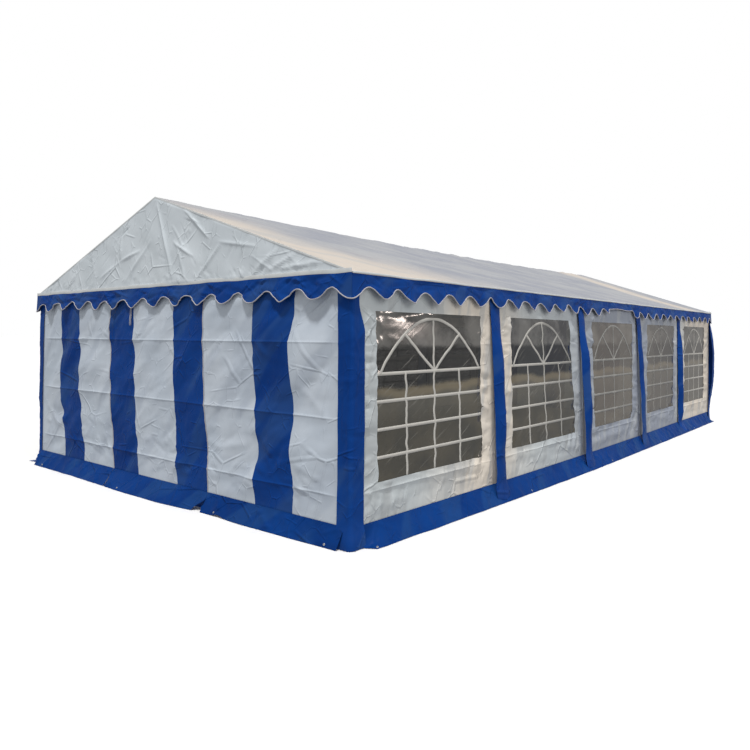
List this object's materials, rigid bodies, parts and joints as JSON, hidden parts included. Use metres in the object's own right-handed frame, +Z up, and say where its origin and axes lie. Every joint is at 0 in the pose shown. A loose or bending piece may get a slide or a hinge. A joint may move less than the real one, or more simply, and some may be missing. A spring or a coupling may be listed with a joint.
{
  "type": "party tent",
  "caption": "Marquee-style party tent: steel bents under a low ridge roof with a scalloped valance, striped gable walls with a zipped door, and side walls of arched film windows.",
  "frame": {"origin": "centre of the footprint, on the ground", "axes": "+Z up, +Y along the ridge from the front gable to the back one, +X towards the right side as seen from the front"},
  "size_m": [5.4, 10.22, 2.8549],
  "materials": {
    "white_fabric": "white coated fabric, semi-matt; the gable walls carry broad blue stripes",
    "roof_fabric": "off-white coated fabric, semi-matt, creased",
    "blue_fabric": "royal blue coated fabric with a soft gloss",
    "window_film": "clear flexible film, glossy, with white glazing bars printed or welded on",
    "steel": "galvanised steel tube"
  },
  "bodies": {
    "root": {"back_door": "white_fabric", "back_wall_left": "white_fabric", "back_wall_right": "white_fabric", "bent_1": "steel", "bent_2": "steel", "bent_3": "steel", "bent_4": "steel", "bent_5": "steel", "bent_6": "steel", "corner_strap_back_left": "blue_fabric", "corner_strap_back_right": "blue_fabric", "corner_strap_front_left": "blue_fabric", "corner_strap_front_right": "blue_fabric", "eave_tube_left": "steel", "eave_tube_right": "steel", "front_door": "white_fabric", "front_wall_left": "white_fabric", "front_wall_right": "white_fabric", "gable_back": "roof_fabric", "gable_front": "roof_fabric", "panel_left_1": "white_fabric", "panel_left_2": "white_fabric", "panel_left_3": "white_fabric", "panel_left_4": "white_fabric", "panel_left_5": "white_fabric", "panel_right_1": "white_fabric", "panel_right_2": "white_fabric", "panel_right_3": "white_fabric", "panel_right_4": "white_fabric", "panel_right_5": "white_fabric", "ridge_tube": "steel", "roof_cover_left": "roof_fabric", "roof_cover_right": "roof_fabric", "skirt_back": "blue_fabric", "skirt_front": "blue_fabric", "skirt_left": "blue_fabric", "skirt_right": "blue_fabric", "strap_left_1": "blue_fabric", "strap_left_2": "blue_fabric", "strap_left_3": "blue_fabric", "strap_left_4": "blue_fabric", "strap_right_1": "blue_fabric", "strap_right_2": "blue_fabric", "strap_right_3": "blue_fabric", "strap_right_4": "blue_fabric", "valance_back": "blue_fabric", "valance_front": "blue_fabric", "valance_left": "blue_fabric", "valance_right": "blue_fabric", "window_left_1": "window_film", "window_left_2": "window_film", "window_left_3": "window_film", "window_left_4": "window_film", "window_left_5": "window_film", "window_right_1": "window_film", "window_right_2": "window_film", "window_right_3": "window_film", "window_right_4": "window_film", "window_right_5": "window_film"}
  },
  "joints": []
}
